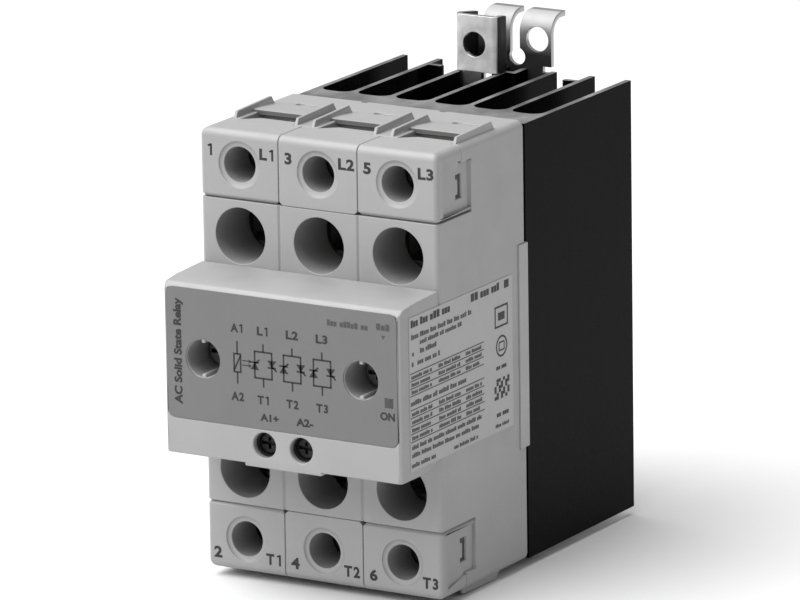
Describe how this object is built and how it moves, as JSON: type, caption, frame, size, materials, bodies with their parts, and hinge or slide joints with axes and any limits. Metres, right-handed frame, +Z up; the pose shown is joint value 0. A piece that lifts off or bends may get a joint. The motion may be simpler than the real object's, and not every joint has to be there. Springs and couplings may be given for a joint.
{
  "type": "solid state relay",
  "caption": "Three-pole DIN-rail solid state relay with front wire entries, screw terminals, raised control cover, finned heat sink and sprung rail latch.",
  "frame": {"origin": "middle of the base of the whole object's box, at the underside of the lower finger ribs", "axes": "+Z up, along the body's 90 mm height; +X to the right of someone facing the terminals, across the poles; +Y from the terminals towards the rail"},
  "size_m": [0.0546, 0.099, 0.1027],
  "materials": {
    "housing_plastic": "fine-grained light grey moulding",
    "frame_plastic": "fine-grained pale grey moulding",
    "front_label": "satin printed film, mid grey",
    "side_label": "printed film sticker, light grey",
    "clear_plastic": "clear moulded light guide",
    "led": "small indicator, diffused",
    "circuit_board": "solder-masked laminate",
    "component_black": "moulded epoxy",
    "varistor_blue": "dipped epoxy coat",
    "capacitor_yellow": "moulded box",
    "resistor_body": "lacquered",
    "screw_steel": "zinc plated, bright",
    "clamp_steel": "zinc plated, dull",
    "tinned_brass": "tin-plated brass sheet",
    "ceramic": "alumina plate",
    "silicon": "passivated silicon die",
    "black_anodised": "black anodised extrusion, bare sawn ends",
    "zinc_sheet": "bright zinc-plated sheet steel",
    "spring_steel": "drawn wire"
  },
  "bodies": {
    "relay": {"base_frame": "frame_plastic", "bracket_screws": "screw_steel", "ceramic_substrates": "ceramic", "circuit_board": "circuit_board", "control_block": "component_black", "control_contacts": "tinned_brass", "din_bracket": "zinc_sheet", "fixing_screws": "screw_steel", "fixing_washers": "clamp_steel", "front_cover": "housing_plastic", "front_label": "front_label", "gate_pins": "tinned_brass", "gate_resistors": "resistor_body", "heat_sink": "black_anodised", "indicator_led": "led", "latch_spring": "spring_steel", "light_guide": "clear_plastic", "main_housing": "housing_plastic", "opto_couplers": "component_black", "side_label": "side_label", "snubber_capacitors": "capacitor_yellow", "terminal_cap_L1": "housing_plastic", "terminal_cap_L2": "housing_plastic", "terminal_cap_L3": "housing_plastic", "terminal_cap_T1": "housing_plastic", "terminal_cap_T2": "housing_plastic", "terminal_cap_T3": "housing_plastic", "terminal_frame_L1": "tinned_brass", "terminal_frame_L2": "tinned_brass", "terminal_frame_L3": "tinned_brass", "terminal_frame_T1": "tinned_brass", "terminal_frame_T2": "tinned_brass", "terminal_frame_T3": "tinned_brass", "thyristor_dies": "silicon", "varistors": "varistor_blue"},
    "screw_L1": {"terminal_screw_L1": "screw_steel"},
    "nut_L1": {"wedge_nut_L1": "clamp_steel"},
    "jaw_L1": {"clamp_jaw_L1": "clamp_steel"},
    "screw_T1": {"terminal_screw_T1": "screw_steel"},
    "nut_T1": {"wedge_nut_T1": "clamp_steel"},
    "jaw_T1": {"clamp_jaw_T1": "clamp_steel"},
    "screw_L2": {"terminal_screw_L2": "screw_steel"},
    "nut_L2": {"wedge_nut_L2": "clamp_steel"},
    "jaw_L2": {"clamp_jaw_L2": "clamp_steel"},
    "screw_T2": {"terminal_screw_T2": "screw_steel"},
    "nut_T2": {"wedge_nut_T2": "clamp_steel"},
    "jaw_T2": {"clamp_jaw_T2": "clamp_steel"},
    "screw_L3": {"terminal_screw_L3": "screw_steel"},
    "nut_L3": {"wedge_nut_L3": "clamp_steel"},
    "jaw_L3": {"clamp_jaw_L3": "clamp_steel"},
    "screw_T3": {"terminal_screw_T3": "screw_steel"},
    "nut_T3": {"wedge_nut_T3": "clamp_steel"},
    "jaw_T3": {"clamp_jaw_T3": "clamp_steel"},
    "control_screw_A1": {"control_screw_A1": "screw_steel"},
    "control_clamp_A1": {"control_clamp_A1": "clamp_steel"},
    "control_screw_A2": {"control_screw_A2": "screw_steel"},
    "control_clamp_A2": {"control_clamp_A2": "clamp_steel"},
    "latch": {"rail_latch": "zinc_sheet"}
  },
  "joints": [
    {"name": "nut_slide_L1", "type": "slide", "parent": "relay", "child": "nut_L1", "axis": [0, -1, 0], "range_m": [0, 0.006]},
    {"name": "screw_turn_L1", "type": "hinge", "parent": "relay", "child": "screw_L1", "pos_m": [-0.018, -0.0147, 0.0849], "axis": [0, 1, 0], "range_deg": [0, 2700]},
    {"name": "jaw_slide_L1", "type": "slide", "parent": "relay", "child": "jaw_L1", "axis": [0, 0, -1], "range_m": [0, 0.006]},
    {"name": "nut_slide_T1", "type": "slide", "parent": "relay", "child": "nut_T1", "axis": [0, -1, 0], "range_m": [0, 0.006]},
    {"name": "screw_turn_T1", "type": "hinge", "parent": "relay", "child": "screw_T1", "pos_m": [-0.018, -0.0147, 0.0085], "axis": [0, 1, 0], "range_deg": [0, 2700]},
    {"name": "jaw_slide_T1", "type": "slide", "parent": "relay", "child": "jaw_T1", "axis": [0, 0, 1], "range_m": [0, 0.006]},
    {"name": "nut_slide_L2", "type": "slide", "parent": "relay", "child": "nut_L2", "axis": [0, -1, 0], "range_m": [0, 0.006]},
    {"name": "screw_turn_L2", "type": "hinge", "parent": "relay", "child": "screw_L2", "pos_m": [0, -0.0147, 0.0849], "axis": [0, 1, 0], "range_deg": [0, 2700]},
    {"name": "jaw_slide_L2", "type": "slide", "parent": "relay", "child": "jaw_L2", "axis": [0, 0, -1], "range_m": [0, 0.006]},
    {"name": "nut_slide_T2", "type": "slide", "parent": "relay", "child": "nut_T2", "axis": [0, -1, 0], "range_m": [0, 0.006]},
    {"name": "screw_turn_T2", "type": "hinge", "parent": "relay", "child": "screw_T2", "pos_m": [0, -0.0147, 0.0085], "axis": [0, 1, 0], "range_deg": [0, 2700]},
    {"name": "jaw_slide_T2", "type": "slide", "parent": "relay", "child": "jaw_T2", "axis": [0, 0, 1], "range_m": [0, 0.006]},
    {"name": "nut_slide_L3", "type": "slide", "parent": "relay", "child": "nut_L3", "axis": [0, -1, 0], "range_m": [0, 0.006]},
    {"name": "screw_turn_L3", "type": "hinge", "parent": "relay", "child": "screw_L3", "pos_m": [0.018, -0.0147, 0.0849], "axis": [0, 1, 0], "range_deg": [0, 2700]},
    {"name": "jaw_slide_L3", "type": "slide", "parent": "relay", "child": "jaw_L3", "axis": [0, 0, -1], "range_m": [0, 0.006]},
    {"name": "nut_slide_T3", "type": "slide", "parent": "relay", "child": "nut_T3", "axis": [0, -1, 0], "range_m": [0, 0.006]},
    {"name": "screw_turn_T3", "type": "hinge", "parent": "relay", "child": "screw_T3", "pos_m": [0.018, -0.0147, 0.0085], "axis": [0, 1, 0], "range_deg": [0, 2700]},
    {"name": "jaw_slide_T3", "type": "slide", "parent": "relay", "child": "jaw_T3", "axis": [0, 0, 1], "range_m": [0, 0.006]},
    {"name": "control_turn_A1", "type": "hinge", "parent": "relay", "child": "control_screw_A1", "pos_m": [-0.0042, -0.0437, 0.03315], "axis": [0, 1, 0], "range_deg": [0, 2592]},
    {"name": "clamp_rise_A1", "type": "slide", "parent": "relay", "child": "control_clamp_A1", "axis": [0, -1, 0], "range_m": [0, 0.0036]},
    {"name": "control_turn_A2", "type": "hinge", "parent": "relay", "child": "control_screw_A2", "pos_m": [0.0042, -0.0437, 0.03315], "axis": [0, 1, 0], "range_deg": [0, 2592]},
    {"name": "clamp_rise_A2", "type": "slide", "parent": "relay", "child": "control_clamp_A2", "axis": [0, -1, 0], "range_m": [0, 0.0036]},
    {"name": "latch_lift", "type": "slide", "parent": "relay", "child": "latch", "axis": [0, 0, 1], "range_m": [0, 0.0035], "stiffness_N_per_m": 1500, "springref_m": -0.004, "deforming": ["latch_spring"]}
  ],
  "couplings": [
    {"joint": "screw_turn_L1", "follows": "nut_slide_L1", "rad_per_m": 7854},
    {"joint": "jaw_slide_L1", "follows": "nut_slide_L1", "ratio": 1},
    {"joint": "screw_turn_T1", "follows": "nut_slide_T1", "rad_per_m": 7854},
    {"joint": "jaw_slide_T1", "follows": "nut_slide_T1", "ratio": 1},
    {"joint": "screw_turn_L2", "follows": "nut_slide_L2", "rad_per_m": 7854},
    {"joint": "jaw_slide_L2", "follows": "nut_slide_L2", "ratio": 1},
    {"joint": "screw_turn_T2", "follows": "nut_slide_T2", "rad_per_m": 7854},
    {"joint": "jaw_slide_T2", "follows": "nut_slide_T2", "ratio": 1},
    {"joint": "screw_turn_L3", "follows": "nut_slide_L3", "rad_per_m": 7854},
    {"joint": "jaw_slide_L3", "follows": "nut_slide_L3", "ratio": 1},
    {"joint": "screw_turn_T3", "follows": "nut_slide_T3", "rad_per_m": 7854},
    {"joint": "jaw_slide_T3", "follows": "nut_slide_T3", "ratio": 1},
    {"joint": "control_turn_A1", "follows": "clamp_rise_A1", "rad_per_m": 12566},
    {"joint": "control_turn_A2", "follows": "clamp_rise_A2", "rad_per_m": 12566}
  ]
}
